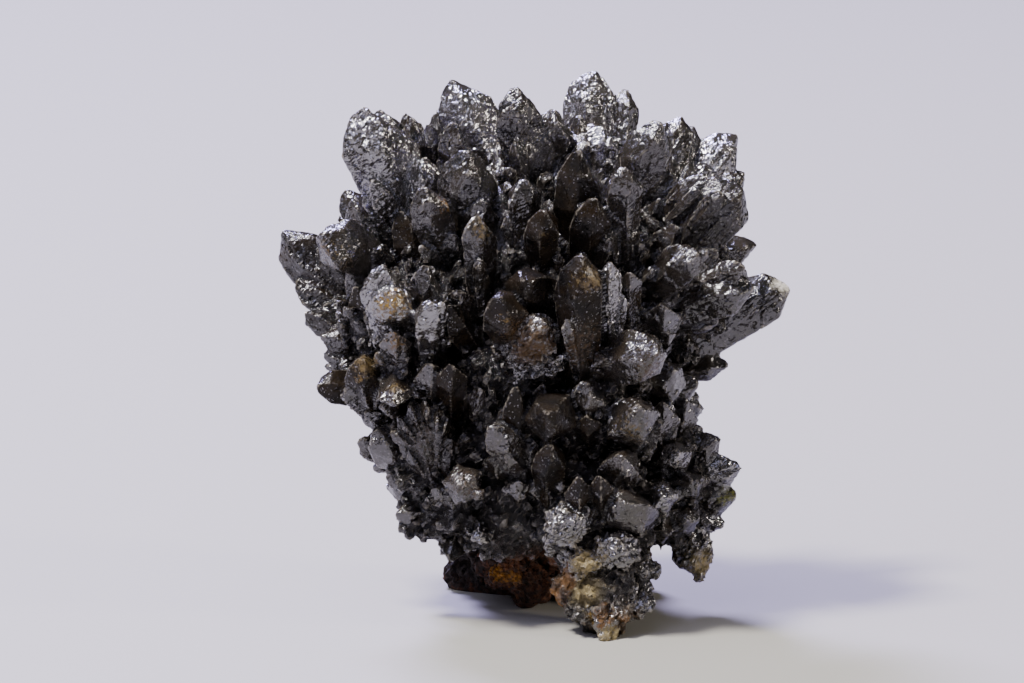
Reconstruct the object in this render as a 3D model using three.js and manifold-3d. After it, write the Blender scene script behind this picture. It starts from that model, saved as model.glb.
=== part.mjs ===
// A descloizite crystal cluster: a crown of dark spearhead crystals on a druse-covered stalk,
// grown on a lump of rusty limonite matrix whose broken base the cluster stands on.
import * as THREE from 'three';
import { ConvexGeometry } from 'three/addons/geometries/ConvexGeometry.js';
import { mergeVertices } from 'three/addons/utils/BufferGeometryUtils.js';
import Module from 'manifold-3d';

const wasm = await Module();
wasm.setup();

// Driving dimensions, millimetres and degrees.
// Places are given in the growth frame: x to the right, "up" along the face of the cluster and
// "out" from its middle towards the front. Standing, that frame leans back by LEAN.
const LEAN = 10;
const FRONT_FOOT = { x: 15.6, up: 0, out: 22 };   // the lowest point of the front foot
const CENTRE = { x: 0.8, y: 11.25 };              // middle of the standing cluster, seen from above
const CROWN = { x: 0, up: 69, out: -1 };          // the point that the crown's crystals grow from
const CROWN_BACK = { x: 46, up: 40, out: 35 };    // reach of the crown's back crystals
const CROWN_CORE = { x: 26, up: 22, out: 16 };    // where their visible roots start
const BACK_COUNT = 28;                            // places for them, some of which stay empty
const SIDE_COUNT = 12;                            // crystals down the back and sides of the stalk
const BACK_HEAD = 0.45;                           // length of their heads as a share of the width
const GOLDEN_ANGLE = Math.PI * (3 - Math.sqrt(5));
const ROOT_DEPTH = 0.45;                          // how much of its length each crystal is buried
const ROOT_SHARE = 0.6;                           // how wide the buried end is, as a share of the width
const HEAD_EXTRA = { least: 0.08, spread: 0.2 };  // what a head's length adds to its own share
const LARGE_CRYSTAL = 10.4;                       // a crystal wider than this has five sides
const MATRIX_GAP = 0.5;                           // clearance between the crystals and the matrix
const FOOT_BITE = 0.35;                           // how much of the lowest points the base cut takes
const LUMPINESS = 0.08;                           // how far the slow waves swell a rounded body
const GROUND = 400;                               // side of the block that cuts the base flat

// The crystals of the face: tip x, up, out; root x, up, out; width; thickness as
// a share of the width; turn in degrees; length of the head as a share of the width.
const CROWN_LEFT = [
  [-33.6, 106, 5, -25.6, 85.8, -4, 16.8, 0.75, 20, 0.45],
  [-25.8, 105.2, -8, -22.4, 94.4, -11, 7.2, 0.8, 0, 0.5],
  [-19.2, 105.8, -4, -18.8, 91, -10, 5.6, 0.8, 30, 1],
  [-20.4, 103, -1, -18.8, 92.4, -8, 6.3, 0.8, 0, 0.6],
  [-37.8, 89.8, -12, -32.4, 83, -14, 9, 0.8, 10, 0.4],
  [-36.4, 87.8, -3, -29, 77.8, -8, 10.1, 0.75, -20, 0.7],
  [-26.2, 85.4, 4, -20.4, 71, -2, 8.5, 0.8, 15, 0.6],
  [-41.6, 80, 13, -32.6, 75.6, 2, 12.8, 0.8, 40, 0.35],
  [-50.6, 80.8, -5, -37, 69, -5, 11.4, 0.75, -10, 0.4],
  [-47.4, 70.4, -3, -37, 66.2, -5, 8.5, 0.8, 25, 0.4],
  [-36.8, 72.2, 9, -31.6, 67.4, 1, 7.2, 0.8, 0, 0.5],
  [-22, 89.6, 15, -16.4, 76.4, 6, 9.4, 0.75, 0, 0.5],
  [-29, 74.2, 22, -28.4, 60.4, 8, 10.8, 0.85, 30, 0.4],
  [-34.4, 70.4, 17, -31.6, 61.4, 8, 6, 0.8, 0, 0.8],
  [-27.4, 69, 26, -27.4, 59.4, 12, 10.1, 0.75, 0, 0.4],
  [-20.4, 74.4, 21, -21, 62.4, 12, 7.8, 0.8, 10, 0.7],
  [-19.8, 66.8, 28, -19.6, 54.4, 12, 7.6, 0.85, 40, 0.35],
  [-26.8, 61.2, 27, -26, 53.8, 14, 6.7, 0.9, 0, 0.5],
  [-45.4, 65, 0, -35, 61.4, -3, 7.8, 0.8, 0, 0.5],
  [-39, 66.8, 7, -33.6, 63, 2, 5.2, 0.9, 20, 0.8],
  [-41.6, 59.8, 4, -30.4, 58.4, -1, 7.8, 0.8, 0, 0.45],
  [-41.6, 56.2, 3, -33.6, 54.2, 0, 6.7, 0.8, 0, 0.5],
  [-41.6, 53.8, -1, -32.4, 52.6, -3, 5.6, 0.9, 0, 0.7],
  [-42.4, 49.2, 8, -34, 50.4, 2, 8.3, 0.9, 15, 0.45],
  [-33.6, 55.8, 20, -31.6, 47, 6, 8.5, 0.9, 0, 0.5],
  [-26.4, 46.6, 26, -26.8, 55, 12, 6.7, 0.8, 0, 0.4],
  [-20, 54.8, 25, -20.4, 45.4, 11, 6.7, 0.8, 20, 0.5],
  [-15.6, 54.8, 28, -15.6, 44.4, 12, 7.2, 0.9, 0, 0.6],
];
const CROWN_TOP = [
  [-17.6, 111.6, -15, -8.4, 97.4, -15, 13.9, 0.7, 10, 0.45],
  [-14.8, 103.4, 3, -14.4, 91.4, -4, 8.3, 0.75, 0, 0.8],
  [-12.6, 97.4, 12, -12, 81.8, 2, 13, 0.75, -15, 0.6],
  [-10.4, 84, 22, -10, 69.4, 12, 8.1, 0.8, 30, 0.45],
  [-3.6, 110, 5, 0, 89.4, -2, 10.1, 0.8, 15, 0.6],
  [5, 105.8, 2, 4, 93.4, -4, 8.3, 0.8, 0, 0.4],
  [-1.4, 91.2, 18, -1.2, 77.8, 9, 7.8, 0.8, 45, 0.45],
  [2, 85, 26, 2.8, 73, 14, 7.8, 0.9, 0, 0.5],
  [-0.8, 71, 33, 0.8, 67.4, 14, 10.5, 0.85, 20, 0.6],
  [-6.8, 67.8, 35, -2, 58.4, 16, 10.5, 0.85, 0, 0.6],
  [1.6, 64.2, 31, -2, 53, 16, 11.2, 0.8, 0, 0.4],
  [8.6, 97, 20, 10.4, 78.4, 8, 10.8, 0.85, 0, 0.8],
  [12, 87.4, 24, 11, 75, 12, 9, 0.9, 20, 0.6],
  [12.4, 114.4, -15, 11.6, 90, -12, 11.6, 0.75, 0, 0.4],
  [19.4, 110.6, -14, 18.4, 90, -10, 6.5, 0.8, 20, 0.45],
  [14.4, 102.6, -2, 13.6, 90, -6, 9.4, 0.8, 0, 0.4],
  [25, 103.4, 13, 19, 84.4, 3, 11.2, 0.75, 0, 0.6],
  [18.4, 93.4, 24, 18, 75, 10, 7.8, 0.9, 30, 0.5],
  [30, 104.8, -10, 28.4, 88, -7.5, 7.6, 0.8, 0, 0.4],
  [33, 103, -12, 30.6, 88, -9, 6, 0.8, 20, 0.4],
  [41.6, 101.2, -14, 30.5, 86, -9, 10.5, 0.8, 0, 0.35],
  [43.6, 93.4, -12, 34.5, 86, -8.5, 6.7, 0.8, 0, 0.4],
  [-14.6, 69, 23, -13, 61, 12, 7.2, 0.9, 0, 0.4],
  [-16.6, 66, 26, -11.6, 58, 14, 6.7, 0.8, 30, 0.6],
  [9.2, 76.2, 34, 10.4, 53.4, 20, 10.5, 0.85, 0, 0.5],
  [15.4, 75, 30, 15.6, 59.4, 20, 5.6, 0.9, 0, 0.5],
  [9.4, 105, -4, 10, 92, -8, 5.6, 0.9, 0, 0.6],
];
const CROWN_RIGHT = [
  [41.6, 90.2, 16, 28, 75, 6, 14.1, 0.75, 0, 0.35],
  [35.2, 91.8, 15, 25, 79.8, 5, 9, 0.8, 20, 0.5],
  [45.8, 79.2, -10, 35, 74.4, -8, 7.8, 0.8, 0, 0.7],
  [44, 70.8, 14, 26, 65, 6, 11.2, 0.8, 15, 0.4],
  [51.6, 71, -3, 31, 57, -4, 11.9, 0.75, 0, 0.4],
  [32.4, 77, 24, 24, 69, 10, 9, 0.8, 0, 0.4],
  [26, 66.4, 25, 26, 59.8, 10, 7.2, 0.8, 0, 0.5],
  [19.2, 72.8, 28, 19.6, 61.4, 14, 5.6, 0.9, 0, 0.5],
  [25.2, 57.4, 33, 13.6, 54.4, 16, 11.9, 0.85, 10, 0.35],
];
const STALK = [
  [28.4, 54.2, 16, 24, 48.4, 5, 10.1, 0.9, 0, 0.4],
  [33.4, 51.4, 6, 25, 48.4, -2, 8.3, 0.9, 20, 0.4],
  [-3.2, 50.6, 27, -2.8, 38.4, 16, 7.6, 0.8, 30, 1.2],
  [4, 45.4, 33, 4.6, 43.8, 14, 11.6, 0.9, 45, 0.6],
  [11, 51.4, 27, 12, 42.4, 16, 7.8, 0.9, 0, 0.5],
  [11.2, 44.4, 27, 11.6, 38.4, 14, 6, 0.9, 0, 0.4],
  [-7.6, 43, 26, -1.6, 35, 16, 8.3, 0.8, 0, 0.5],
  [20.8, 46.2, 30, 18.4, 39.8, 12, 11.2, 0.85, 0, 0.35],
  [31, 48.4, 8, 28.4, 37.4, 0, 7.4, 0.9, 10, 0.4],
  [26.4, 47.4, 16, 26, 38.4, 6, 6.7, 0.9, 0, 0.4],
  [-22.4, 47, 19, -19.6, 35, 11, 10.8, 0.8, 0, 0.4],
  [-31.2, 41.4, 13, -25.6, 35.4, 5, 9, 0.9, 0, 0.4],
  [-34.2, 39.8, 6, -27.6, 35.8, 0, 6.7, 0.9, 20, 0.4],
  [-28.8, 33, 8, -23, 30.8, 2, 5.6, 0.9, 0, 0.5],
  [-18.8, 30.5, 17, -16, 27, 8, 6, 0.8, 0, 0.5],
  [-13.4, 31, 23, -12, 31, 8, 8.5, 1, 30, 0.35],
  [-10, 50.2, 21, -10.8, 43.4, 12, 6, 0.9, 0, 0.5],
  [3.6, 39.2, 27, 3.8, 29.4, 16, 7.6, 0.8, 0, 0.6],
  [9.6, 33, 29, 9.6, 23.4, 18, 6.3, 0.9, 0, 0.7],
  [13.4, 33.2, 29, 14.2, 23.4, 18, 5.8, 0.9, 0, 0.7],
  [-2, 31.5, 21, -3, 28, 10, 7.2, 0.8, 0, 0.4],
  [-8, 36, 21, -4, 33, 10, 7.2, 0.8, 0, 0.4],
  [17.2, 37, 26, 17.6, 29.8, 12, 9, 0.8, 0, 0.45],
  [18.4, 28, 28, 20.4, 22.4, 10, 12.8, 0.7, 0, 0.4],
  [7.6, 25.4, 26, 7, 19, 10, 10.5, 0.85, 0, 0.35],
  [-27, 25, 10, -20, 25, 4, 6.3, 0.9, 0, 0.4],
  [-16, 15.3, 8, -15, 21, 2, 6.3, 1, 0, 0.4],
  [-10, 21, 16, -9, 22, 4, 6.7, 0.9, 0, 0.4],
  [-2, 21, 14, -2, 24, 2, 6.7, 0.9, 0, 0.4],
];
const RIGHT_LOBE = [
  [37, 40.2, 4, 30, 35, -4, 8.3, 0.8, 0, 0.4],
  [42, 34.5, 2, 32, 31, -4, 9.4, 0.8, 20, 0.4],
  [41.6, 28.4, 0, 33, 27, -5, 7.6, 0.9, 0, 0.4],
  [39, 22, -2, 32, 24, -6, 7.2, 0.9, 0, 0.4],
  [34.4, 11.4, -2, 32, 20, -5, 8.5, 0.9, 0, 0.5],
  [36.6, 17.5, -2, 31, 21, -5, 6.5, 0.9, 0, 0.4],
  [30, 37.5, 14, 26, 34, 2, 7.6, 0.8, 0, 0.4],
  [33, 31.5, 13, 28, 29, 0, 8.3, 0.8, 20, 0.4],
  [26, 28.5, 19, 24, 28, 4, 8.5, 0.8, 0, 0.4],
  [32, 23.5, 10, 28, 24, -2, 7.6, 0.9, 0, 0.4],
  [27, 21, 12, 25, 24, 0, 7.2, 0.9, 0, 0.4],
];
const FOOT = [
  [15.6, -0.2, 22, 14, 14, 12, 13.9, 0.9, 15, 0.6],
  [21.4, 4.4, 18, 18, 16, 8, 9, 0.9, 0, 0.5],
  [9.6, 5.6, 16, 12, 16, 6, 9, 0.9, 0, 0.5],
  [23, 13.5, 16, 17, 17, 6, 8.3, 0.9, 0, 0.4],
  [10, 15, 24, 11, 17, 10, 9.6, 0.9, 0, 0.4],
  [18, 18, 25, 16, 18, 10, 10.1, 0.8, 0, 0.4],
];

// The rounded bodies that the crystals are seated in: middle x, up, out; half sizes; seed.
const CRYSTAL_BODIES = [
  [0, 70, -3, 28, 20, 15, 3],
  [-22, 62, 2, 15, 13, 13, 5],
  [24, 72, 0, 15, 17, 13, 7],
  [4, 48, 8, 20, 16, 15, 11],
  [-14, 36, 6, 13, 16, 9, 13],
  [27, 32, 0, 10, 14, 9, 17],
  [12, 26, 12, 12, 14, 10, 19],
  [14, 11, 14, 8, 10, 8, 23],
  [-3, 25, 8, 12, 8, 6, 27],
];

// The limonite matrix: middle x, up, out; half sizes; seed. The low ones reach the ground.
const MATRIX_BODIES = [
  [3, 28, -15, 19, 19, 13, 31],
  [-7, 15, -26, 10.5, 11, 9.5, 37],
  [12.5, 15, -23, 11, 12, 11, 41],
  [4, 14, -23, 12, 11, 10, 53],
  [0, 15, -7, 9, 8, 9, 43],
  [4, 44, -21, 15, 14, 9, 47],
];

const CRYSTAL_COLOUR = 0x2b2723;
const MATRIX_COLOUR = 0x6b3f22;

// A repeatable source of numbers from 0 to 1.
function numbersFrom(seed) {
  let state = seed * 2654435761 % 4294967296;
  return () => {
    state = (state + 0x6d2b79f5) % 4294967296;
    let mixed = Math.imul(state ^ (state >>> 15), 1 | state);
    mixed = (mixed + Math.imul(mixed ^ (mixed >>> 7), 61 | mixed)) ^ mixed;
    return ((mixed ^ (mixed >>> 14)) >>> 0) / 4294967296;
  };
}

// A closed three.js shape becomes a solid that can be joined and cut.
function toSolid(geometry) {
  geometry.deleteAttribute('normal');
  geometry.deleteAttribute('uv');
  const shape = mergeVertices(geometry, 1e-4);
  return new wasm.Manifold(new wasm.Mesh({
    numProp: 3,
    vertProperties: shape.attributes.position.array,
    triVerts: Uint32Array.from(shape.index.array),
  }));
}

// A joined solid becomes a three.js shape again.
function toGeometry(solid) {
  const mesh = solid.getMesh();
  const geometry = new THREE.BufferGeometry();
  geometry.setAttribute('position', new THREE.BufferAttribute(mesh.vertProperties, 3));
  geometry.setIndex(new THREE.BufferAttribute(mesh.triVerts, 1));
  geometry.computeVertexNormals();
  return geometry;
}

// A spearhead crystal: flat sides that widen from the buried root to a shoulder, then close
// over a blunt head to a short chisel edge a little off the axis.
function spearhead([tipX, tipUp, tipOut, rootX, rootUp, rootOut, width, flatness, turn, blunt], random) {
  const tip = new THREE.Vector3(tipX, tipUp, tipOut);
  const root = new THREE.Vector3(rootX, rootUp, rootOut);
  const axis = tip.clone().sub(root);
  root.addScaledVector(axis, -ROOT_DEPTH);
  axis.copy(tip).sub(root);
  const length = axis.length();
  const along = axis.clone().normalize();
  const facing = Math.abs(along.z) > 0.9 ? new THREE.Vector3(0, 1, 0) : new THREE.Vector3(0, 0, 1);
  const across = new THREE.Vector3().crossVectors(facing, along).normalize();
  across.applyAxisAngle(along, THREE.MathUtils.degToRad(turn));
  const through = new THREE.Vector3().crossVectors(along, across);
  const place = (fromTip, sideways, inwards) => tip.clone()
    .addScaledVector(along, -fromTip)
    .addScaledVector(across, sideways * width / 2)
    .addScaledVector(through, inwards * width * flatness / 2);

  const large = width > LARGE_CRYSTAL;
  const section = large ? [[1, 0.1], [0.2, 1], [-0.85, 0.62], [-0.85, -0.62], [0.35, -1]]
    : [[1, 0], [0, 1], [-1, 0], [0, -1]];
  const head = Math.min(width * (blunt + HEAD_EXTRA.least + HEAD_EXTRA.spread * random()), length * 0.5);
  const slope = (random() - 0.5) * 0.5;
  const corners = [];
  for (const [sideways, inwards] of section) {
    corners.push(place(length, sideways * ROOT_SHARE, inwards * ROOT_SHARE));
    corners.push(place(head * (1 - slope * sideways), sideways, inwards));
  }
  if (large) {
    for (const [sideways, inwards] of [[1, 0.1], [-0.2, 1], [-0.4, -0.9]]) {
      corners.push(place(head * (0.4 - slope * sideways * 0.3), sideways * 0.72, inwards * 0.72));
    }
  }
  const off = slope * 0.5;
  corners.push(place(0, off - 0.14, 0.12));
  corners.push(place(head * 0.08, off + 0.18, -0.12));
  return toSolid(new ConvexGeometry(corners));
}

// A lumpy rounded body, its surface pushed in and out by a few slow waves.
function lump([x, up, out, halfX, halfUp, halfOut, seed], grow, detail) {
  const random = numbersFrom(seed);
  const shape = new THREE.IcosahedronGeometry(1, detail);
  const waves = [1, 2, 3].map((order) => ({
    axis: new THREE.Vector3(random() - 0.5, random() - 0.5, random() - 0.5).normalize(),
    order: 1.2 + order,
    shift: random() * 6,
  }));
  const points = shape.attributes.position;
  const point = new THREE.Vector3();
  for (let i = 0; i < points.count; i += 1) {
    point.fromBufferAttribute(points, i);
    const swell = waves.reduce((sum, wave) =>
      sum + LUMPINESS * Math.sin(wave.order * 2 * point.dot(wave.axis) + wave.shift), 1);
    points.setXYZ(i, x + point.x * (halfX * swell + grow), up + point.y * (halfUp * swell + grow),
      out + point.z * (halfOut * swell + grow));
  }
  return toSolid(shape);
}

// Crystals over the back of the crown, spread evenly and radiating from its middle.
function crownBack() {
  const random = numbersFrom(71);
  const crystals = [];
  for (let i = 0; i < BACK_COUNT; i += 1) {
    const out = -0.12 - 0.86 * (i + 0.5) / BACK_COUNT;
    const turn = i * GOLDEN_ANGLE + random() * 0.5;
    const ring = Math.sqrt(1 - out * out);
    const direction = [ring * Math.cos(turn), ring * Math.sin(turn), out];
    if (direction[1] < -0.62) continue;
    const reach = 0.86 + random() * 0.14;
    const tip = [
      CROWN.x + direction[0] * CROWN_BACK.x * reach,
      CROWN.up + direction[1] * CROWN_BACK.up * reach,
      CROWN.out + direction[2] * CROWN_BACK.out * reach,
    ];
    const sway = () => (random() - 0.5) * 7;
    const root = [
      CROWN.x + direction[0] * CROWN_CORE.x + sway(),
      CROWN.up + direction[1] * CROWN_CORE.up + sway(),
      CROWN.out + direction[2] * CROWN_CORE.out + sway() * 0.6,
    ];
    const width = 8 + random() * 6;
    crystals.push([...tip, ...root, width, 0.7 + random() * 0.2, random() * 90, BACK_HEAD]);
  }
  return crystals;
}

// Crystals down the back and the sides of the stalk, above the bare matrix.
function stalkBack() {
  const random = numbersFrom(83);
  const crystals = [];
  for (let i = 0; i < SIDE_COUNT; i += 1) {
    const side = i % 2 ? 1 : -1;
    const up = 20 + i * 2.4 + random() * 4;
    const outwards = random();
    const x = (side > 0 ? 36 : -30) - side * outwards * 7 + (random() - 0.5) * 4;
    const out = -4 - outwards * 16;
    const root = [x - side * 9, up - 1 + random() * 3, out + 8];
    crystals.push([x, up, out, ...root, 5.4 + random() * 3, 0.8, random() * 90, BACK_HEAD]);
  }
  return crystals;
}

function join(solids) {
  return solids.reduce((whole, solid) => whole.add(solid));
}

// From the growth frame to the standing frame, +Z up.
const standing = new THREE.Matrix4().makeRotationX(THREE.MathUtils.degToRad(90 - LEAN));
const footPoint = new THREE.Vector3(FRONT_FOOT.x, FRONT_FOOT.up, FRONT_FOOT.out).applyMatrix4(standing);
standing.premultiply(new THREE.Matrix4().makeTranslation(-CENTRE.x, -CENTRE.y, -footPoint.z - FOOT_BITE));

function stand(solid) {
  return toSolid(toGeometry(solid).applyMatrix4(standing));
}

// The block above the ground; what it leaves out is the flat base cut.
const aboveGround = toSolid(new THREE.BoxGeometry(GROUND, GROUND, GROUND).translate(0, 0, GROUND / 2));

function matrixSolid(grow) {
  return join(MATRIX_BODIES.map((body) => lump(body, grow, 1)));
}

const random = numbersFrom(29);
const crystals = [...CROWN_LEFT, ...CROWN_TOP, ...CROWN_RIGHT, ...STALK, ...RIGHT_LOBE, ...FOOT,
  ...crownBack(), ...stalkBack()];
const crystalSolid = join([
  ...CRYSTAL_BODIES.map((body) => lump(body, 0, 1)),
  ...crystals.map((crystal) => spearhead(crystal, random)),
]).subtract(matrixSolid(MATRIX_GAP));

const group = new THREE.Group();
group.name = 'descloizite_cluster';

function addPiece(name, solid, colour, roughness, metalness) {
  const material = new THREE.MeshStandardMaterial({ color: colour, roughness, metalness });
  const piece = new THREE.Mesh(toGeometry(stand(solid).intersect(aboveGround)), material);
  piece.name = name;
  group.add(piece);
}

addPiece('descloizite_crystals', crystalSolid, CRYSTAL_COLOUR, 0.35, 0.1);
addPiece('limonite_matrix', matrixSolid(0), MATRIX_COLOUR, 0.95, 0);

export default group;
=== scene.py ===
# %% [markdown]
# # A descloizite crystal cluster
# Descloizite is a heavy lead and zinc vanadate. It grows as dark, greasy-looking spearheads that
# fan out from rusty limonite rock. Each spearhead is really a bundle of smaller parallel crystals,
# so its faces are stepped and glint in many small patches.
# We load the measured frame first, because every piece has to sit exactly where that model is.

# %% Load the frame
import math

import bmesh
import bpy
import numpy as np
from mathutils import Matrix, Vector, noise
from mathutils.bvhtree import BVHTree


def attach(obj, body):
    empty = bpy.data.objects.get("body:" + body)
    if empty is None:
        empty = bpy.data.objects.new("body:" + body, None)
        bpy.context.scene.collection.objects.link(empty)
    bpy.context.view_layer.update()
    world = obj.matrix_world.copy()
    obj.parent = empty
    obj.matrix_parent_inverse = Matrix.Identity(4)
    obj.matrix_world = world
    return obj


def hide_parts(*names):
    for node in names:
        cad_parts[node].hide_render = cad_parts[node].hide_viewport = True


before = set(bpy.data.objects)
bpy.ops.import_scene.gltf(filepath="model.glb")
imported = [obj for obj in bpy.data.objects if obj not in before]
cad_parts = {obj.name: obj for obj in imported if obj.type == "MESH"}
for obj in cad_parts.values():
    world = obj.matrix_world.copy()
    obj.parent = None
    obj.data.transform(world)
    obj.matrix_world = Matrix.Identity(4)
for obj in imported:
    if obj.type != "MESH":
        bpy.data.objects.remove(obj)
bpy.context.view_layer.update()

# %% [markdown]
# ## The growth frame
# It is easier to place crystals on the face of the cluster than in the standing frame, because
# the whole cluster leans back by ten degrees when it stands. So places are given as x to the
# right, "up" along the face and "out" towards the front, in millimetres, and one matrix turns
# them into metres in the standing frame.

# %% Growth frame to standing frame
MM = 0.001
LEAN = math.radians(10)
FRONT_FOOT = (15.6, 0, 22)      # the lowest point of the front foot
CENTRE = (0.8, 11.25)           # middle of the standing cluster, seen from above
FOOT_BITE = 0.35                # how much of the lowest points the flat base takes

lean_back = Matrix.Rotation(math.radians(90) - LEAN, 4, "X")
lowest = (lean_back @ Vector(FRONT_FOOT)).z + FOOT_BITE
standing = (Matrix.Scale(MM, 4) @ Matrix.Translation((-CENTRE[0], -CENTRE[1], -lowest)) @ lean_back)


def stand(points):
    """Growth millimetres, an array of points, to standing metres."""
    turn = np.array(standing.to_3x3())
    return points @ turn.T + np.array(standing.translation)


print("front foot stands at", [round(v, 4) for v in standing @ Vector(FRONT_FOOT)])

# %% [markdown]
# ## Camera
# A long lens keeps the crystals at the front and at the back at nearly the same scale, which
# shows the true shape of a small specimen. The camera looks down by the same ten degrees.

# %% Camera
LENS = 200                      # mm, on a 36 mm wide sensor
VIEW_WIDTH = 204.8              # mm of the cluster's middle plane that the frame is wide
VIEW_CENTRE = (-3.6, 59.1, 0)   # growth frame point in the middle of the view

camera_data = bpy.data.cameras.new("camera")
camera_data.lens = LENS
camera_data.clip_start = 0.05
camera_data.clip_end = 20
camera = bpy.data.objects.new("camera", camera_data)
camera.rotation_euler = (math.radians(90) - LEAN, 0, 0)
distance = LENS / 36 * VIEW_WIDTH
camera.location = standing @ Vector((VIEW_CENTRE[0], VIEW_CENTRE[1], VIEW_CENTRE[2] + distance))
bpy.context.collection.objects.link(camera)
bpy.context.scene.camera = camera
print("camera is", round(distance), "mm from the middle of the cluster")

# %% [markdown]
# ## Floor and light
# Dark shiny crystals show their shape by what they reflect. A small strong key at the upper left
# puts white glints on the facets that face it. A large dim panel below it gives the slanted faces
# a silvery sheen. A rim light behind draws cool lines along the top edges, and a weak light from
# the right opens the shadows.

# %% Floor and lights
def to_linear(code):
    """An sRGB hex colour such as "a0b1c2" to linear red, green, blue and alpha."""
    parts = [int(code[i:i + 2], 16) / 255 for i in (0, 2, 4)]
    return [p / 12.92 if p < 0.04045 else ((p + 0.055) / 1.055) ** 2.4 for p in parts] + [1]


def add_node(tree, kind, inputs=None, **settings):
    """Add a shader node, set its properties, and set or link its inputs by name or number."""
    made = tree.nodes.new(kind)
    for name, value in settings.items():
        setattr(made, name, value)
    for socket, value in (inputs or {}).items():
        if isinstance(value, bpy.types.NodeSocket):
            tree.links.new(value, made.inputs[socket])
        else:
            made.inputs[socket].default_value = value
    return made


def new_material(name):
    """An empty node material: its tree and its Principled shader."""
    material = bpy.data.materials.new(name)
    material.use_nodes = True
    shader = material.node_tree.nodes["Principled BSDF"]
    return material, material.node_tree, shader


floor_mesh = bmesh.new()
bmesh.ops.create_grid(floor_mesh, x_segments=1, y_segments=1, size=4)
floor_data = bpy.data.meshes.new("floor")
floor_mesh.to_mesh(floor_data)
floor = bpy.data.objects.new("floor", floor_data)
bpy.context.collection.objects.link(floor)
paper, _, paper_shader = new_material("pale_paper")
paper_shader.inputs["Base Color"].default_value = to_linear("9c9a94")
paper_shader.inputs["Roughness"].default_value = 0.7
floor_data.materials.append(paper)


def soft_box(name, place, aim, size, watts, colour):
    """A square area light at a place in mm, aimed at another place in mm."""
    data = bpy.data.lights.new(name, "AREA")
    data.shape = "SQUARE"
    data.size = size * MM
    data.energy = watts
    data.color = to_linear(colour)[:3]
    light = bpy.data.objects.new(name, data)
    light.location = Vector(place) * MM
    light.rotation_euler = (Vector(aim) - Vector(place)).to_track_quat("-Z", "Y").to_euler()
    bpy.context.collection.objects.link(light)


soft_box("key", (-1000, -500, 2300), (0, 0, 60), 420, 150, "fffaf2")
soft_box("panel", (-900, -500, 1900), (0, 0, 60), 2200, 50, "dddcff")
soft_box("rim", (-700, 1500, 1700), (0, 0, 70), 600, 165, "cac4ff")
soft_box("side", (2100, -700, 900), (0, 0, 50), 300, 26, "fff4e6")

world = bpy.data.worlds.new("studio")
world.use_nodes = True
world.node_tree.nodes["Background"].inputs["Color"].default_value = to_linear("dfe0e6")
world.node_tree.nodes["Background"].inputs["Strength"].default_value = 0.1
bpy.context.scene.world = world

# %% [markdown]
# ## The crystals of the face
# Each row is one crystal: where its tip is, where it goes in among its neighbours, how wide it
# is, how thick as a share of the width, how many degrees it is turned about its length, how long
# its head is as a share of the width, and its habit. "g" glitters all over, "m" is a calmer
# mosaic, "s" has large smooth faces, "f" is laminated, "d" is laminated and dark, and "r" is a
# rough lump.

# %% Crystals of the face
CROWN_LEFT = [
    (-33.6, 106, 5, -25.6, 85.8, -4, 16.8, 0.75, 20, 0.45, "g"),
    (-25.8, 105.2, -8, -22.4, 94.4, -11, 7.2, 0.8, 0, 0.5, "m"),
    (-19.2, 105.8, -4, -18.8, 91, -10, 5.6, 0.8, 30, 1, "m"),
    (-20.4, 103, -1, -18.8, 92.4, -8, 6.3, 0.8, 0, 0.6, "m"),
    (-37.8, 89.8, -12, -32.4, 83, -14, 9, 0.8, 10, 0.4, "m"),
    (-36.4, 87.8, -3, -29, 77.8, -8, 10.1, 0.75, -20, 0.7, "m"),
    (-26.2, 85.4, 4, -20.4, 71, -2, 8.5, 0.8, 15, 0.6, "s"),
    (-41.6, 80, 13, -32.6, 75.6, 2, 12.8, 0.8, 40, 0.35, "m"),
    (-50.6, 80.8, -5, -37, 69, -5, 11.4, 0.75, -10, 0.4, "d"),
    (-47.4, 70.4, -3, -37, 66.2, -5, 8.5, 0.8, 25, 0.4, "d"),
    (-36.8, 72.2, 9, -31.6, 67.4, 1, 7.2, 0.8, 0, 0.5, "m"),
    (-22, 89.6, 15, -16.4, 76.4, 6, 9.4, 0.75, 0, 0.5, "m"),
    (-29, 74.2, 22, -28.4, 60.4, 8, 10.8, 0.85, 30, 0.4, "g"),
    (-34.4, 70.4, 17, -31.6, 61.4, 8, 6, 0.8, 0, 0.8, "s"),
    (-27.4, 69, 26, -27.4, 59.4, 12, 10.1, 0.75, 0, 0.4, "g"),
    (-20.4, 74.4, 21, -21, 62.4, 12, 7.8, 0.8, 10, 0.7, "m"),
    (-19.8, 66.8, 28, -19.6, 54.4, 12, 7.6, 0.85, 40, 0.35, "g"),
    (-26.8, 61.2, 27, -26, 53.8, 14, 6.7, 0.9, 0, 0.5, "m"),
    (-45.4, 65, 0, -35, 61.4, -3, 7.8, 0.8, 0, 0.5, "d"),
    (-39, 66.8, 7, -33.6, 63, 2, 5.2, 0.9, 20, 0.8, "m"),
    (-41.6, 59.8, 4, -30.4, 58.4, -1, 7.8, 0.8, 0, 0.45, "f"),
    (-41.6, 56.2, 3, -33.6, 54.2, 0, 6.7, 0.8, 0, 0.5, "m"),
    (-41.6, 53.8, -1, -32.4, 52.6, -3, 5.6, 0.9, 0, 0.7, "m"),
    (-42.4, 49.2, 8, -34, 50.4, 2, 8.3, 0.9, 15, 0.45, "s"),
    (-33.6, 55.8, 20, -31.6, 47, 6, 8.5, 0.9, 0, 0.5, "s"),
    (-26.4, 46.6, 26, -26.8, 55, 12, 6.7, 0.8, 0, 0.4, "m"),
    (-20, 54.8, 25, -20.4, 45.4, 11, 6.7, 0.8, 20, 0.5, "m"),
    (-15.6, 54.8, 28, -15.6, 44.4, 12, 7.2, 0.9, 0, 0.6, "s"),
]
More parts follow.
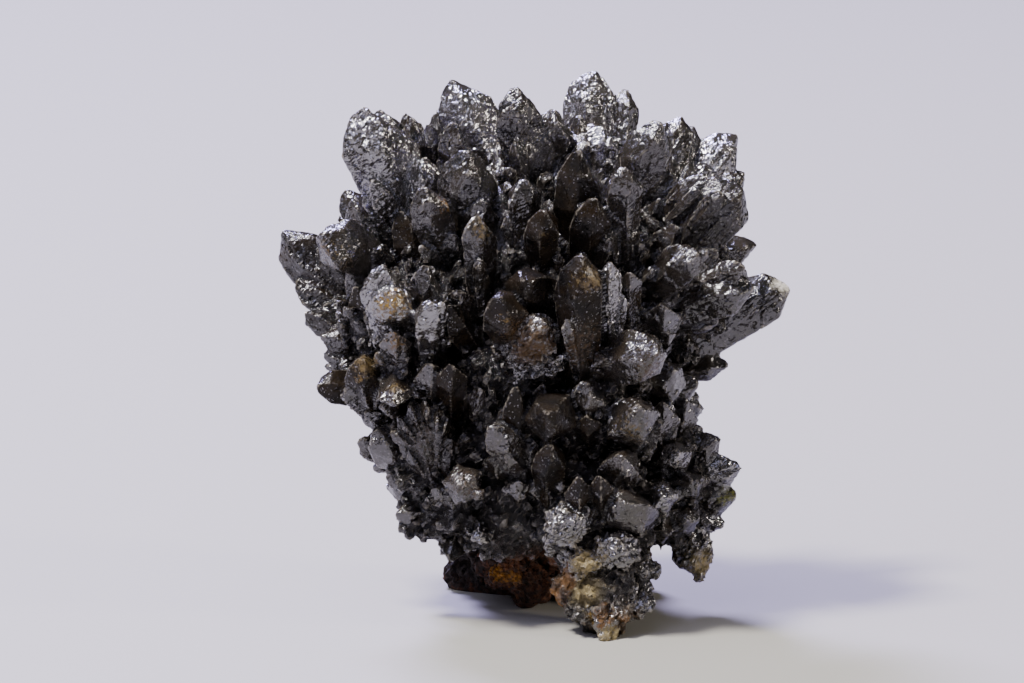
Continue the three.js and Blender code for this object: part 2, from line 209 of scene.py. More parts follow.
CROWN_TOP = [
    (-17.6, 111.6, -15, -8.4, 97.4, -15, 13.9, 0.7, 10, 0.45, "g"),
    (-14.8, 103.4, 3, -14.4, 91.4, -4, 8.3, 0.75, 0, 0.8, "m"),
    (-12.6, 97.4, 12, -12, 81.8, 2, 13, 0.75, -15, 0.6, "m"),
    (-10.4, 84, 22, -10, 69.4, 12, 8.1, 0.8, 30, 0.45, "m"),
    (-3.6, 110, 5, 0, 89.4, -2, 10.1, 0.8, 15, 0.6, "f"),
    (5, 105.8, 2, 4, 93.4, -4, 8.3, 0.8, 0, 0.4, "m"),
    (-1.4, 91.2, 18, -1.2, 77.8, 9, 7.8, 0.8, 45, 0.45, "m"),
    (2, 85, 26, 2.8, 73, 14, 7.8, 0.9, 0, 0.5, "s"),
    (-0.8, 71, 33, 0.8, 67.4, 14, 10.5, 0.85, 20, 0.6, "s"),
    (-6.8, 67.8, 35, -2, 58.4, 16, 10.5, 0.85, 0, 0.6, "s"),
    (1.6, 64.2, 31, -2, 53, 16, 11.2, 0.8, 0, 0.4, "r"),
    (8.6, 97, 20, 10.4, 78.4, 8, 10.8, 0.85, 0, 0.8, "s"),
    (12, 87.4, 24, 11, 75, 12, 9, 0.9, 20, 0.6, "s"),
    (12.4, 114.4, -15, 11.6, 90, -12, 11.6, 0.75, 0, 0.4, "g"),
    (19.4, 110.6, -14, 18.4, 90, -10, 6.5, 0.8, 20, 0.45, "f"),
    (14.4, 102.6, -2, 13.6, 90, -6, 9.4, 0.8, 0, 0.4, "g"),
    (25, 103.4, 13, 19, 84.4, 3, 11.2, 0.75, 0, 0.6, "f"),
    (18.4, 93.4, 24, 18, 75, 10, 7.8, 0.9, 30, 0.5, "f"),
    (30, 104.8, -10, 28.4, 88, -7.5, 7.6, 0.8, 0, 0.4, "m"),
    (33, 103, -12, 30.6, 88, -9, 6, 0.8, 20, 0.4, "m"),
    (41.6, 101.2, -14, 30.5, 86, -9, 10.5, 0.8, 0, 0.35, "g"),
    (43.6, 93.4, -12, 34.5, 86, -8.5, 6.7, 0.8, 0, 0.4, "m"),
    (-14.6, 69, 23, -13, 61, 12, 7.2, 0.9, 0, 0.4, "m"),
    (-16.6, 66, 26, -11.6, 58, 14, 6.7, 0.8, 30, 0.6, "s"),
    (9.2, 76.2, 34, 10.4, 53.4, 20, 10.5, 0.85, 0, 0.5, "s"),
    (15.4, 75, 30, 15.6, 59.4, 20, 5.6, 0.9, 0, 0.5, "g"),
    (9.4, 105, -4, 10, 92, -8, 5.6, 0.9, 0, 0.6, "m"),
]
CROWN_RIGHT = [
    (41.6, 90.2, 16, 28, 75, 6, 14.1, 0.75, 0, 0.35, "d"),
    (35.2, 91.8, 15, 25, 79.8, 5, 9, 0.8, 20, 0.5, "f"),
    (45.8, 79.2, -10, 35, 74.4, -8, 7.8, 0.8, 0, 0.7, "m"),
    (44, 70.8, 14, 26, 65, 6, 11.2, 0.8, 15, 0.4, "f"),
    (51.6, 71, -3, 31, 57, -4, 11.9, 0.75, 0, 0.4, "m"),
    (32.4, 77, 24, 24, 69, 10, 9, 0.8, 0, 0.4, "f"),
    (26, 66.4, 25, 26, 59.8, 10, 7.2, 0.8, 0, 0.5, "m"),
    (19.2, 72.8, 28, 19.6, 61.4, 14, 5.6, 0.9, 0, 0.5, "m"),
    (25.2, 57.4, 33, 13.6, 54.4, 16, 11.9, 0.85, 10, 0.35, "m"),
]
STALK = [
    (28.4, 54.2, 16, 24, 48.4, 5, 10.1, 0.9, 0, 0.4, "m"),
    (33.4, 51.4, 6, 25, 48.4, -2, 8.3, 0.9, 20, 0.4, "m"),
    (-3.2, 50.6, 27, -2.8, 38.4, 16, 7.6, 0.8, 30, 1.2, "s"),
    (4, 45.4, 33, 4.6, 43.8, 14, 11.6, 0.9, 45, 0.6, "s"),
    (11, 51.4, 27, 12, 42.4, 16, 7.8, 0.9, 0, 0.5, "m"),
    (11.2, 44.4, 27, 11.6, 38.4, 14, 6, 0.9, 0, 0.4, "s"),
    (-7.6, 43, 26, -1.6, 35, 16, 8.3, 0.8, 0, 0.5, "f"),
    (20.8, 46.2, 30, 18.4, 39.8, 12, 11.2, 0.85, 0, 0.35, "f"),
    (31, 48.4, 8, 28.4, 37.4, 0, 7.4, 0.9, 10, 0.4, "m"),
    (26.4, 47.4, 16, 26, 38.4, 6, 6.7, 0.9, 0, 0.4, "m"),
    (-22.4, 47, 19, -19.6, 35, 11, 10.8, 0.8, 0, 0.4, "d"),
    (-31.2, 41.4, 13, -25.6, 35.4, 5, 9, 0.9, 0, 0.4, "f"),
    (-34.2, 39.8, 6, -27.6, 35.8, 0, 6.7, 0.9, 20, 0.4, "f"),
    (-28.8, 33, 8, -23, 30.8, 2, 5.6, 0.9, 0, 0.5, "m"),
    (-18.8, 30.5, 17, -16, 27, 8, 6, 0.8, 0, 0.5, "f"),
    (-13.4, 31, 23, -12, 31, 8, 8.5, 1, 30, 0.35, "f"),
    (-10, 50.2, 21, -10.8, 43.4, 12, 6, 0.9, 0, 0.5, "m"),
    (3.6, 39.2, 27, 3.8, 29.4, 16, 7.6, 0.8, 0, 0.6, "s"),
    (9.6, 33, 29, 9.6, 23.4, 18, 6.3, 0.9, 0, 0.7, "s"),
    (13.4, 33.2, 29, 14.2, 23.4, 18, 5.8, 0.9, 0, 0.7, "s"),
    (-2, 31.5, 21, -3, 28, 10, 7.2, 0.8, 0, 0.4, "m"),
    (-8, 36, 21, -4, 33, 10, 7.2, 0.8, 0, 0.4, "f"),
    (17.2, 37, 26, 17.6, 29.8, 12, 9, 0.8, 0, 0.45, "m"),
    (18.4, 28, 28, 20.4, 22.4, 10, 12.8, 0.7, 0, 0.4, "f"),
    (7.6, 25.4, 26, 7, 19, 10, 10.5, 0.85, 0, 0.35, "r"),
    (-27, 25, 10, -20, 25, 4, 6.3, 0.9, 0, 0.4, "m"),
    (-16, 15.3, 8, -15, 21, 2, 6.3, 1, 0, 0.4, "m"),
    (-10, 21, 16, -9, 22, 4, 6.7, 0.9, 0, 0.4, "r"),
    (-2, 21, 14, -2, 24, 2, 6.7, 0.9, 0, 0.4, "r"),
]
RIGHT_LOBE = [
    (37, 40.2, 4, 30, 35, -4, 8.3, 0.8, 0, 0.4, "f"),
    (42, 34.5, 2, 32, 31, -4, 9.4, 0.8, 20, 0.4, "g"),
    (41.6, 28.4, 0, 33, 27, -5, 7.6, 0.9, 0, 0.4, "f"),
    (39, 22, -2, 32, 24, -6, 7.2, 0.9, 0, 0.4, "g"),
    (34.4, 11.4, -2, 32, 20, -5, 8.5, 0.9, 0, 0.5, "r"),
    (36.6, 17.5, -2, 31, 21, -5, 6.5, 0.9, 0, 0.4, "m"),
    (30, 37.5, 14, 26, 34, 2, 7.6, 0.8, 0, 0.4, "g"),
    (33, 31.5, 13, 28, 29, 0, 8.3, 0.8, 20, 0.4, "f"),
    (26, 28.5, 19, 24, 28, 4, 8.5, 0.8, 0, 0.4, "g"),
    (32, 23.5, 10, 28, 24, -2, 7.6, 0.9, 0, 0.4, "f"),
    (27, 21, 12, 25, 24, 0, 7.2, 0.9, 0, 0.4, "f"),
]
FOOT = [
    (15.6, -0.2, 22, 14, 14, 12, 13.9, 0.9, 15, 0.6, "r"),
    (21.4, 4.4, 18, 18, 16, 8, 9, 0.9, 0, 0.5, "r"),
    (9.6, 5.6, 16, 12, 16, 6, 9, 0.9, 0, 0.5, "r"),
    (23, 13.5, 16, 17, 17, 6, 8.3, 0.9, 0, 0.4, "r"),
    (10, 15, 24, 11, 17, 10, 9.6, 0.9, 0, 0.4, "r"),
    (18, 18, 25, 16, 18, 10, 10.1, 0.8, 0, 0.4, "r"),
]

# A fan of blades, and small crystals in the shadow between the crown and the stalk.
FILLING = [
    (-27.4, 41.6, 17, -20, 36, 12, 3.2, 2.2, 0, 0.5, "d"),
    (-26, 44.4, 18.8, -19.8, 36, 12, 3, 2.4, 0, 0.5, "d"),
    (-23.8, 46.8, 19.8, -19.6, 36, 12, 3.2, 2.4, 0, 0.5, "m"),
    (-21, 47.6, 20.4, -19.2, 36, 12, 3, 2.4, 0, 0.5, "d"),
    (-18.4, 46.8, 19.8, -18.8, 36, 12, 3, 2.4, 0, 0.5, "m"),
    (-16.4, 44.4, 19, -18.4, 36, 12, 3, 2.4, 0, 0.5, "d"),
    (-33.4, 44.4, 8, -24, 45, 2, 7.4, 0.9, 0, 0.4, "m"),
    (-29.4, 46.6, 15, -23, 46, 4, 6.4, 0.9, 20, 0.4, "m"),
    (-36.4, 46.4, 0, -27, 46, -2, 6.6, 0.9, 0, 0.4, "f"),
    (-28, 42, 12, -21, 43, 4, 6, 0.9, 0, 0.4, "m"),
]

# The rounded bodies under the druse, in mm: middle x, up, out; half sizes; seed of their waves.
CRYSTAL_BODIES = [
    (0, 70, -3, 28, 20, 15, 3),
    (-22, 62, 2, 15, 13, 13, 5),
    (24, 72, 0, 15, 17, 13, 7),
    (4, 48, 8, 20, 16, 15, 11),
    (-14, 36, 6, 13, 16, 9, 13),
    (27, 32, 0, 10, 14, 9, 17),
    (12, 26, 12, 12, 14, 10, 19),
    (14, 11, 14, 8, 10, 8, 23),
    (-3, 25, 8, 12, 8, 6, 27),
]
MATRIX_BODIES = [
    (3, 28, -15, 19, 19, 13, 31),
    (-7, 15, -26, 10.5, 11, 9.5, 37),
    (12.5, 15, -23, 11, 12, 11, 41),
    (4, 14, -23, 12, 11, 10, 53),
    (0, 15, -7, 9, 8, 9, 43),
    (4, 44, -21, 15, 14, 9, 47),
]
placed = (CROWN_LEFT, CROWN_TOP, CROWN_RIGHT, STALK, RIGHT_LOBE, FOOT, FILLING)
print("crystals placed by hand:", sum(map(len, placed)))

# %% [markdown]
# ## The crystals of the back
# The back of the crown is the same radiating growth, so its crystals come from a formula: the
# golden angle spreads them evenly, and a small repeatable generator moves each one a little.

# %% Crystals of the back
def numbers_from(seed):
    """A repeatable source of numbers from 0 to 1."""
    full = 2 ** 32
    state = seed * 2654435761 % full
    while True:
        state = (state + 0x6d2b79f5) % full
        mixed = (state ^ (state >> 15)) * (1 | state) % full
        mixed = (mixed + (mixed ^ (mixed >> 7)) * (61 | mixed)) % full ^ mixed
        yield (mixed ^ (mixed >> 14)) / full


CROWN = (0, 69, -1)             # the point that the crown fans out from
CROWN_BACK = (46, 40, 35)       # how far the tips reach from it, across, up and out
CROWN_CORE = (26, 22, 16)       # how far from it the crystals go in
BACK_COUNT = 28
SIDE_COUNT = 12
GOLDEN_ANGLE = math.pi * (3 - math.sqrt(5))


def crown_back():
    """Rows of spearheads that fan out from the middle of the crown, away from the front."""
    draw = numbers_from(71)
    rows = []
    for i in range(BACK_COUNT):
        out = -0.12 - 0.86 * (i + 0.5) / BACK_COUNT
        turn = i * GOLDEN_ANGLE + next(draw) * 0.5
        ring = math.sqrt(1 - out * out)
        direction = (ring * math.cos(turn), ring * math.sin(turn), out)
        if direction[1] < -0.62:
            continue
        reach = 0.86 + next(draw) * 0.14
        tip = [c + d * b * reach for c, d, b in zip(CROWN, direction, CROWN_BACK)]
        root = [c + d * b + (next(draw) - 0.5) * 7 * share
                for c, d, b, share in zip(CROWN, direction, CROWN_CORE, (1, 1, 0.6))]
        width = 8 + next(draw) * 6
        rows.append((*tip, *root, width, 0.7 + next(draw) * 0.2, next(draw) * 90, 0.45, "mf"[i % 2]))
    return rows


def stalk_back():
    """Rows of smaller spearheads up both sides of the stalk, towards the back."""
    draw = numbers_from(83)
    rows = []
    for i in range(SIDE_COUNT):
        side = 1 if i % 2 else -1
        up = 20 + i * 2.4 + next(draw) * 4
        outwards = next(draw)
        x = (36 if side > 0 else -30) - side * outwards * 7 + (next(draw) - 0.5) * 4
        out = -4 - outwards * 16
        root = (x - side * 9, up - 1 + next(draw) * 3, out + 8)
        rows.append((x, up, out, *root, 5.4 + next(draw) * 3, 0.8, next(draw) * 90, 0.45, "mf"[i % 2]))
    return rows


groups = {
    "crown_left": CROWN_LEFT, "crown_top": CROWN_TOP, "crown_right": CROWN_RIGHT, "stalk": STALK,
    "right_lobe": RIGHT_LOBE, "foot": FOOT, "crown_back": crown_back(), "stalk_back": stalk_back(),
    "filling": FILLING,
}
print({name: len(rows) for name, rows in groups.items()})

# %% [markdown]
# ## One crystal
# A spearhead is simplest as a handful of corners with a convex skin pulled over them: a ring at
# the root, a wider ring at the shoulder, and a short chisel edge at the tip. `convex_hull` makes
# the skin, so every face comes out flat, as a crystal face is. A stretched cone would be quicker,
# but all its flanks would be alike.

# %% Crystal hulls
ROOT_DEPTH = 0.45               # how much of its length each crystal is buried
ROOT_SHARE = 0.6                # how wide the buried end is, as a share of the width
LARGE_CRYSTAL = 7.4             # a crystal wider than this has five sides and a domed head


def crystal_axes(tip, root, turn):
    """The buried length, and the unit directions along, across and through a crystal."""
    along = tip - root
    length = along.length * (1 + ROOT_DEPTH)
    along.normalize()
    facing = Vector((0, 1, 0)) if abs(along.z) > 0.9 else Vector((0, 0, 1))
    across = facing.cross(along).normalized()
    across.rotate(Matrix.Rotation(math.radians(turn), 3, along))
    return length, along, across, along.cross(across)


def crystal_corners(row, draw):
    """Corners of a spearhead in the growth frame, and the matrix of its own axes."""
    tip, root = Vector(row[0:3]), Vector(row[3:6])
    width, flatness, turn, blunt = row[6:10]
    length, along, across, through = crystal_axes(tip, root, turn)

    def place(from_tip, sideways, inwards):
        return (tip - along * from_tip + across * (sideways * width / 2)
                + through * (inwards * width * flatness / 2))

    large = width > LARGE_CRYSTAL
    section = [(1, 0), (0, 1), (-1, 0), (0, -1)]
    if large:
        section = [(1, 0.1), (0.2, 1), (-0.85, 0.62), (-0.85, -0.62), (0.35, -1)]
    head = min(width * (blunt + 0.08 + 0.2 * next(draw)), length * 0.5)
    slope = (next(draw) - 0.5) * 0.5
    corners = []
    for sideways, inwards in section:
        corners.append(place(length, sideways * ROOT_SHARE, inwards * ROOT_SHARE))
        corners.append(place(head * (1 - slope * sideways), sideways, inwards))
    if large:
        for sideways, inwards in [(1, 0.1), (-0.2, 1), (-0.4, -0.9)]:
            corners.append(place(head * (0.4 - slope * sideways * 0.3), sideways * 0.72, inwards * 0.72))
    off = slope * 0.5
    corners.append(place(0, off - 0.14, 0.12))
    corners.append(place(head * 0.08, off + 0.18, -0.12))
    return corners, np.array([across, through, along])


def arrays_of(mesh):
    """The points and triangles of a bmesh as arrays; the bmesh is freed."""
    points = np.array([v.co for v in mesh.verts])
    triangles = np.array([[v.index for v in f.verts] for f in mesh.faces])
    mesh.free()
    return points, triangles


def hull(corners, bevel=0):
    """Convex skin over corners, as arrays of points and triangles."""
    mesh = bmesh.new()
    for corner in corners:
        mesh.verts.new(corner)
    skin = bmesh.ops.convex_hull(mesh, input=mesh.verts)
    loose = [v for v in skin["geom_interior"] + skin["geom_unused"] if isinstance(v, bmesh.types.BMVert)]
    bmesh.ops.delete(mesh, geom=list(set(loose)), context="VERTS")
    if bevel:
        bmesh.ops.dissolve_limit(mesh, angle_limit=math.radians(2), verts=mesh.verts, edges=mesh.edges)
        bmesh.ops.bevel(mesh, geom=mesh.edges[:], offset=bevel, segments=1, profile=0.5,
                        affect="EDGES", material=-1)
    bmesh.ops.recalc_face_normals(mesh, faces=mesh.faces)
    bmesh.ops.triangulate(mesh, faces=mesh.faces)
    points, triangles = arrays_of(mesh)
    if bevel:       # it makes its faces in another order on every run, so they are sorted
        first = triangles.argmin(axis=1)[:, None]
        triangles = np.take_along_axis(triangles, (first + np.arange(3)) % 3, axis=1)
        triangles = triangles[np.lexsort(triangles.T)]
    return points, triangles


draw_shapes = numbers_from(29)


def grow(group, row, bevel):
    """One crystal: its own axes, a sharp skin, and one whose edges are blunted as if worn."""
    corners, axes = crystal_corners(row, draw_shapes)
    return {"group": group, "row": row, "axes": axes, "skin": hull(corners), "edged": hull(corners, bevel)}


crystals = [grow(name, row, bevel=row[6] * 0.02) for name, rows in groups.items() for row in rows]
print(len(crystals), "crystals,", sum(len(c["skin"][1]) for c in crystals), "faces before any detail")

# %% [markdown]
# ## Satellites
# Round the flanks of every large spearhead smaller ones lean outwards. They are new rows of the
# same kind, worked out from their parent's row, so they grow in the same way.

# %% Satellites
WIDE_CRYSTAL = 6                # mm; a wider crystal has three satellites, the others one
rng = np.random.default_rng(1472)


def satellites(crystal, count):
    """Rows for smaller crystals that lean out from a crystal's flanks."""
    row = crystal["row"]
    across, through, along = crystal["axes"]
    tip, root = np.array(row[0:3]), np.array(row[3:6])
    length = np.linalg.norm(tip - root)
    rows = []
    for number in range(count):
        angle = math.tau * (number + 0.7 * rng.random()) / count
        side = across * math.cos(angle) + through * math.sin(angle) * row[7]
        width = row[6] * (0.34 + 0.24 * rng.random())
        up = along * length * (0.2 + 0.4 * rng.random())
        top = root + up + side * row[6] * (0.42 + 0.22 * rng.random())
        bottom = root - along * (1 + width * 0.3) + side * row[6] * 0.2
        habit = "m" if row[10] == "s" else row[10]
        rows.append((*top, *bottom, width, 0.75 + 0.25 * rng.random(), rng.random() * 90, 0.5, habit))
    return rows


small_crystals = []
for crystal in crystals:
    for row in satellites(crystal, 3 if crystal["row"][6] > WIDE_CRYSTAL else 1):
        small_crystals.append(grow(crystal["group"], row, bevel=0.08))
crystals += small_crystals
print(len(small_crystals), "satellites")

# %% [markdown]
# ## Steps on each crystal
# A descloizite spearhead is a bundle: small copies of itself stand a little proud of its faces,
# turned by a few degrees at most, so their faces shine one after another as the light moves.
# Copying the parent's own hull keeps every small face nearly parallel to a large one.

# %% Copies on the faces
STEP_SIZES = (0.2, 0.5)         # the smallest and the largest copy, as a share of its parent
STEP_PROUD = 0.4                # mm that copies stand out
STEP_TURN = 4                   # degrees that they are usually turned by


def spin(axis, angle):
    """Rotation matrices for arrays of unit axes and angles in radians."""
    x, y, z = axis.T
    zero = np.zeros_like(x)
    cross = np.array([[zero, -z, y], [z, zero, -x], [-y, x, zero]]).transpose(2, 0, 1)
    sine, cosine = (f(angle)[:, None, None] for f in (np.sin, np.cos))
    return np.eye(3) + sine * cross + (1 - cosine) * (cross @ cross)


def unit(vectors):
    """The same directions, one long."""
    return vectors / np.linalg.norm(vectors, axis=1, keepdims=True)


def random_units(count):
    """Directions spread evenly all round."""
    return unit(rng.normal(size=(count, 3)))


def face_samples(points, triangles, count):
    """Random spots on a skin, evenly by area: their places, outward normals and face numbers."""
    a, b, c = (points[triangles[:, k]] for k in range(3))
    across = np.cross(b - a, c - a)
    area = np.linalg.norm(across, axis=1)
    chosen = rng.choice(len(triangles), size=count, p=area / area.sum())
    u, v = rng.random((2, count))
    flip = u + v > 1
    u, v = np.where(flip, 1 - u, u), np.where(flip, 1 - v, v)
    spots = a[chosen] + u[:, None] * (b - a)[chosen] + v[:, None] * (c - a)[chosen]
    return spots, across[chosen] / area[chosen][:, None], chosen


def steps(crystal, count):
    """Small copies of a crystal standing proud of its own faces."""
    points, triangles = crystal["skin"]
    spots, normals, chosen = face_samples(points, triangles, count)
    centres = points[triangles[chosen]].mean(axis=1)
    smallest, largest = STEP_SIZES
    scale = smallest + (largest - smallest) * rng.random(count) ** 1.6
    turns = spin(random_units(count), np.radians(rng.normal(size=count) * STEP_TURN))
    local = (points[None] - centres[:, None]) * scale[:, None, None]
    lift = STEP_PROUD * (0.3 + rng.random(count))
    return local @ turns.transpose(0, 2, 1) + spots[:, None] + (normals * lift[:, None])[:, None]


print("steps of the first crystal:", steps(crystals[0], 12).shape)

# %% [markdown]
# ## Stains and painted shade
# Iron and a pale crust have settled here and there. Each stain is a soft ball in the growth
# frame that tints what lies in it. One near-black ball is painted shade on the rock's left back.
# The tint is kept per point in a colour attribute, and the material breaks its edge up with
# noise, as a real film of limonite is patchy. It could be painted by hand, but a list of places
# is easier to move.

# %% Stains
STAINS_AND_SHADE = {      # colour: [(x, up, out, radius, strength), ...]
    "7a5813": [(-15.5, 86.4, 14, 3.4, 0.75), (-25.8, 58.4, 27, 4.4, 0.7), (4, 78, 27, 3.4, 0.5),
               (-41, 77, 13, 3, 0.5), (-6, 58, 31, 3, 0.7), (4, 55.6, 30, 3.4, 0.6)],
    "a8700f": [(6, 7.5, 8, 5, 1.4), (5, 11.5, 8, 3.4, 1.3), (-5, 10, 2, 4, 1.5),
               (-2.4, 8.4, 3, 3.4, 1.5), (-7, 12, 0, 3, 1.4)],
    "6b3d1a": [(-4, 17, 4, 7, 1), (3, 15, 6, 6, 1), (7, 12, 8, 5, 0.9), (0, 19, 6, 6, 0.9),
               (-6, 17, 14, 4, 0.7)],
    "6b4716": [(7.5, 12, 18, 5, 1), (15, 5, 24, 5, 0.9), (19, 4, 22, 5, 0.85)],
    "94611a": [(5.4, 8.6, 15, 4.6, 0.9), (10, 32, -28, 6, 0.9), (-12, 12, -35, 6, 0.9),
               (4, 46, -30, 6, 0.8), (15, 14, -33, 5, 0.9)],
    # A near-black ball of painted shade on the rock's left back, not a stain.
    "100b08": [(-17, 14, -18, 10, 1.6)],
    "96751f": [(-27, 66.2, 25, 5, 0.7), (-34.2, 51.2, 19, 1.8, 1), (13, 5, 20, 3, 0.8),
               (-5.4, 63, 33, 2, 0.6)],
    "7a663c": [(-32, 54.6, 20, 4, 0.8), (-9.7, 81.2, 21, 4, 0.65), (11.5, 71.4, 33, 3.6, 0.8),
               (-26.5, 51, 26, 4, 0.7), (-38, 76, 10, 5, 0.6), (20, 41, 28, 5, 0.6),
               (2.6, 78, 26, 4, 0.5)],
    "4a3413": [(0, 57, 30, 8, 1.05), (-43, 80.4, 8, 3, 0.7), (6, 11, 14, 5, 0.9), (19, 4, 20, 6, 0.85),
               (12, 3, 18, 5, 0.8), (30, 62, 0, 7, 0.5), (24, 54, 30, 6, 0.65), (10, 58, 28, 7, 0.65),
               (0, 40, -30, 9, 0.8), (18, 24, -26, 8, 0.8), (-18, 26, -18, 7, 0.8),
               (-17, 46, 26, 4, 0.6), (-21, 42, 16, 7, 0.6), (-12, 30, 22, 5, 0.6)],
    "83862e": [(6.2, 69, 35, 2.2, 0.8), (40, 27.6, 1, 3.6, 0.7), (3.4, 56, 31, 1.6, 0.6),
               (13, 6, 21, 1.8, 0.7)],
    "8f8058": [(34, 14.6, -2, 5, 0.9), (10.5, 15.4, 24, 5.6, 1.1), (16.5, 0.4, 22, 5, 1.1),
               (10.6, 10, 22, 5, 1), (21, 1.6, 18, 4, 0.9), (14, 12, 24, 4, 0.8),
               (12.6, 1, 19, 4, 0.9)],
    "cbc6b6": [(50.6, 70.4, -2, 3.4, 1)],
}


def stain_and_shade_at(points):
    """Colour and strength of the stains and the painted shade at growth frame points, as red, green, blue,
    alpha.
    """
    result = np.zeros((len(points), 4))
    for colour, spots in STAINS_AND_SHADE.items():
        for x, up, out, radius, strength in spots:
            reach = np.linalg.norm(points - (x, up, out), axis=1) / radius
            cover = strength * np.clip(1.3 - reach, 0, 1)
            stronger = cover > result[:, 3]
            result[stronger, :3] = to_linear(colour)[:3]
            result[stronger, 3] = cover[stronger]
    return result


print("stain spots:", sum(map(len, STAINS_AND_SHADE.values())))

# %% [markdown]
# ## Gathering a piece
# Every piece is one mesh with attributes for its material. One is the place in the crystal's
# own axes, in millimetres, so that fine grain follows each crystal. The look holds its tone, how
# mosaic it is and how fibrous. One more says how far a point stands proud of its neighbours,
# which finds the ridges, where the material paints highlights, and the hollows, where it paints shade.

# %% Gathering crystals into a piece
def proudness(points, faces):
    """How far each point stands proud of its neighbours, negative in a hollow."""
    ends = np.concatenate([faces[:, [k, (k + 1) % 4]] for k in range(4)])
    ends = np.concatenate([ends, ends[:, ::-1]])
    total, normals = np.zeros_like(points), np.zeros_like(points)
    np.add.at(total, ends[:, 0], points[ends[:, 1]])
    count = np.bincount(ends[:, 0], minlength=len(points))
    corners = points[faces]
    across = np.cross(corners[:, 2] - corners[:, 0], corners[:, 3] - corners[:, 1])
    for k in range(4):
        np.add.at(normals, faces[:, k], across)
    normals /= np.linalg.norm(normals, axis=1, keepdims=True) + 1e-9
    return ((points - total / np.maximum(count, 1)[:, None]) * normals).sum(axis=1)


def make_piece(name, points, faces, grains, looks, material):
    """A mesh object in the standing frame; grains go on its points and looks on its faces."""
    placed = stand(points)
    placed[:, 2] = np.maximum(placed[:, 2], 0)
    mesh = bpy.data.meshes.new(name)
    mesh.from_pydata(placed, [], faces)
    grain = mesh.attributes.new("crystal_mm", "FLOAT_VECTOR", "POINT")
    grain.data.foreach_set("vector", grains.ravel())
    look = mesh.attributes.new("look", "FLOAT_COLOR", "FACE")
    look.data.foreach_set("color", np.column_stack([looks, np.ones(len(looks))]).ravel())
    # The stain colours, with one spot of painted shade on the rock.
    stain_and_shade = mesh.attributes.new("stain_and_shade", "FLOAT_COLOR", "POINT")
    stain_and_shade.data.foreach_set("color", stain_and_shade_at(points).ravel())
    # How far each point stands proud; the material paints highlights on ridges and shade in hollows from
    # it.
    ridge_highlight_hollow_shade = mesh.attributes.new("ridge_highlight_hollow_shade", "FLOAT", "POINT")
    ridge_highlight_hollow_shade.data.foreach_set("value", proudness(points, faces))
    mesh.materials.append(material)
    piece = bpy.data.objects.new(name, mesh)
    bpy.context.collection.objects.link(piece)
    print(name, sum(len(p.vertices) - 2 for p in mesh.polygons), "triangles")
    return piece


class Pile:
    """Closed shapes gathered in the growth frame, each remembering the crystal it belongs to."""

    def __init__(self):
        self.points, self.triangles, self.owners, self.count = [], [], [], 0

    def add(self, copies, triangles, owner=0):
        """Add copies of one shape, an array of (copies, points, 3), with one owner or one each."""
        number, size, _ = copies.shape
        self.points.append(copies.reshape(-1, 3))
        starts = self.count + np.arange(number) * size
        self.triangles.append((starts[:, None, None] + triangles[None]).reshape(-1, 3))
        self.owners.append(np.repeat(np.broadcast_to(owner, number), len(triangles)))
        self.count += number * size

    def shape(self):
        """All points and all triangles."""
        return np.concatenate(self.points), np.concatenate(self.triangles)


print("a gathered piece holds crystal_mm, look, stain and wear")

# %% [markdown]
# ## Descloizite
# The mineral is nearly black, with olive brown in thin edges. Its refractive index of 2.2 is
# close to that of a diamond, so even a dark face throws back a strong pale sheen. Its faces grew
# as mosaics and nobody polished them, so some cells flash while their neighbours stay dark.
# ### Mosaic, lines and leather
# The pattern lives in each crystal's own axes, in millimetres, so a scale of 0.5 gives cells of
# 2 mm and 1.6 gives cells of 0.6 mm. A slow noise bends them first, because real mosaic flats
# have uneven borders. Each cell tilts the normal its own way, more on a more mosaic habit. Fine
# lines run along each crystal, and a low noise makes the faces slightly leathery.

# %% Surface of the crystals
def tilted(tree, normal, cells, amount):
    """Tilt a normal by the random colour of each Voronoi cell."""
    centred = add_node(tree, "ShaderNodeVectorMath", {0: cells.outputs["Color"], 1: (0.5, 0.5, 0.5)},
                       operation="SUBTRACT")
    scaled = add_node(tree, "ShaderNodeVectorMath", {0: centred.outputs[0], "Scale": amount},
                      operation="SCALE")
    added = add_node(tree, "ShaderNodeVectorMath", {0: normal, 1: scaled.outputs[0]}, operation="ADD")
    return add_node(tree, "ShaderNodeVectorMath", {0: added.outputs[0]}, operation="NORMALIZE").outputs[0]


crystal_finish, tree, shader = new_material("descloizite")
grain = add_node(tree, "ShaderNodeAttribute", attribute_name="crystal_mm").outputs["Vector"]
look = add_node(tree, "ShaderNodeAttribute", attribute_name="look").outputs["Color"]
tone, mosaic, fibrous = add_node(tree, "ShaderNodeSeparateColor", {0: look}).outputs[:3]

# What a habit that is not mosaic at all gets, and what the most mosaic one gets.
rough_share, step_tilt, leather_depth = [
    add_node(tree, "ShaderNodeMapRange", {0: mosaic, 3: least, 4: most}).outputs[0]
    for least, most in ((0.9, 0.1), (0.03, 0.3), (0.2, 0.32))]

wobble = add_node(tree, "ShaderNodeTexNoise", {"Vector": grain, "Scale": 0.9, "Detail": 2})
bent = add_node(tree, "ShaderNodeVectorMath", {0: wobble.outputs["Color"], 1: (0.9, 0.9, 0.9), 2: grain},
                operation="MULTIPLY_ADD").outputs[0]
cells = add_node(tree, "ShaderNodeTexVoronoi", {"Vector": bent, "Scale": 0.5})
specks = add_node(tree, "ShaderNodeTexVoronoi", {"Vector": bent, "Scale": 1.6})
_, polish, pick = add_node(tree, "ShaderNodeSeparateColor", {0: specks.outputs["Color"]}).outputs[:3]
chosen = add_node(tree, "ShaderNodeMath", {0: pick, 1: rough_share}, operation="GREATER_THAN").outputs[0]
speck_tilt = add_node(tree, "ShaderNodeMapRange", {0: chosen, 3: 0.04, 4: 0.5}).outputs[0]
facing = add_node(tree, "ShaderNodeNewGeometry").outputs["Normal"]
facing = tilted(tree, tilted(tree, facing, cells, step_tilt), specks, speck_tilt)

